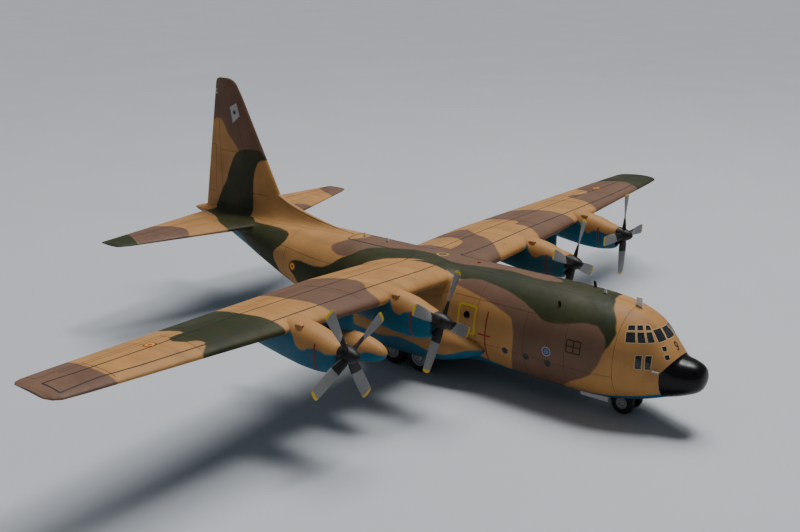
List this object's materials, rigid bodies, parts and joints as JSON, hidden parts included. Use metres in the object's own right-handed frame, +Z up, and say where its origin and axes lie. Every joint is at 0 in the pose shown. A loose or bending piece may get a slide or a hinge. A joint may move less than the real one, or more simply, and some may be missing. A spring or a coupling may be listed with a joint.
{
  "type": "scale model of a military transport plane",
  "caption": "Built plastic model of a high-wing turboprop military transport in sand, brown and green camouflage, parked on its gear, with free propellers and wheels.",
  "frame": {"origin": "on the surface it stands on, under the middle of its length and span", "axes": "+X forward to the nose, +Y to port, +Z up"},
  "size_m": [0.4138, 0.5608, 0.1618],
  "materials": {
    "beacon_red": "red paint",
    "clear_plastic": "clear polystyrene",
    "exhaust_metal": "burnt metal paint",
    "interior_grey": "matt dark grey paint",
    "leg_silver": "silver-grey paint on polystyrene",
    "paint_black": "gloss paint on polystyrene",
    "paint_light_blue": "satin paint on polystyrene",
    "paint_sand": "satin paint on polystyrene",
    "paint_white": "white paint",
    "tyre_black": "matt paint on polystyrene, grey hub"
  },
  "bodies": {
    "airframe": {"antenna_black_port": "paint_black", "antenna_black_starboard": "paint_black", "antenna_white_mid": "paint_white", "antenna_white_nose": "paint_white", "antenna_white_rear": "paint_white", "antenna_white_roof": "paint_white", "beacon": "beacon_red", "cargo_door": "paint_light_blue", "cargo_ramp": "paint_light_blue", "cockpit_glazing": "clear_plastic", "cockpit_interior": "interior_grey", "dorsal_fin": "paint_sand", "exhaust_port_inner": "exhaust_metal", "exhaust_port_outer": "exhaust_metal", "exhaust_starboard_inner": "exhaust_metal", "exhaust_starboard_outer": "exhaust_metal", "fin": "paint_sand", "fuselage": "paint_sand", "main_gear_leg_port": "leg_silver", "main_gear_leg_starboard": "leg_silver", "nacelle_port_inner": "paint_light_blue", "nacelle_port_outer": "paint_light_blue", "nacelle_starboard_inner": "paint_light_blue", "nacelle_starboard_outer": "paint_light_blue", "nose_gear_door": "paint_white", "nose_gear_leg": "leg_silver", "pitot_port": "paint_sand", "pitot_starboard": "paint_sand", "pylon_port": "paint_light_blue", "pylon_starboard": "paint_light_blue", "radome": "paint_black", "sponson_port": "paint_sand", "sponson_starboard": "paint_sand", "tailplane_port": "paint_sand", "tailplane_starboard": "paint_sand", "tank_port": "paint_light_blue", "tank_starboard": "paint_light_blue", "wing_port": "paint_sand", "wing_starboard": "paint_sand"},
    "propeller_starboard_outer": {"propeller_starboard_outer": "paint_black"},
    "propeller_starboard_inner": {"propeller_starboard_inner": "paint_black"},
    "propeller_port_inner": {"propeller_port_inner": "paint_black"},
    "propeller_port_outer": {"propeller_port_outer": "paint_black"},
    "main_wheel_starboard_front": {"main_wheel_starboard_front": "tyre_black"},
    "main_wheel_starboard_rear": {"main_wheel_starboard_rear": "tyre_black"},
    "main_wheel_port_front": {"main_wheel_port_front": "tyre_black"},
    "main_wheel_port_rear": {"main_wheel_port_rear": "tyre_black"},
    "nose_wheels": {"nose_wheels": "tyre_black"}
  },
  "joints": [
    {"name": "propeller_starboard_outer_spin", "type": "hinge", "parent": "airframe", "child": "propeller_starboard_outer", "pos_m": [0.08201, -0.14375, 0.05819], "axis": [1, 0, 0], "continuous": true},
    {"name": "propeller_starboard_inner_spin", "type": "hinge", "parent": "airframe", "child": "propeller_starboard_inner", "pos_m": [0.0841, -0.07056, 0.05514], "axis": [1, 0, 0], "continuous": true},
    {"name": "propeller_port_inner_spin", "type": "hinge", "parent": "airframe", "child": "propeller_port_inner", "pos_m": [0.0841, 0.07056, 0.05514], "axis": [1, 0, 0], "continuous": true},
    {"name": "propeller_port_outer_spin", "type": "hinge", "parent": "airframe", "child": "propeller_port_outer", "pos_m": [0.08201, 0.14319, 0.05819], "axis": [1, 0, 0], "continuous": true},
    {"name": "main_wheel_starboard_front_roll", "type": "hinge", "parent": "airframe", "child": "main_wheel_starboard_front", "pos_m": [0.03826, -0.03014, 0.00986], "axis": [0, 1, 0], "continuous": true},
    {"name": "main_wheel_starboard_rear_roll", "type": "hinge", "parent": "airframe", "child": "main_wheel_starboard_rear", "pos_m": [0.01715, -0.03014, 0.00986], "axis": [0, 1, 0], "continuous": true},
    {"name": "main_wheel_port_front_roll", "type": "hinge", "parent": "airframe", "child": "main_wheel_port_front", "pos_m": [0.03826, 0.03014, 0.00986], "axis": [0, 1, 0], "continuous": true},
    {"name": "main_wheel_port_rear_roll", "type": "hinge", "parent": "airframe", "child": "main_wheel_port_rear", "pos_m": [0.01715, 0.03014, 0.00986], "axis": [0, 1, 0], "continuous": true},
    {"name": "nose_wheels_roll", "type": "hinge", "parent": "airframe", "child": "nose_wheels", "pos_m": [0.16243, 0, 0.00688], "axis": [0, 1, 0], "continuous": true}
  ]
}
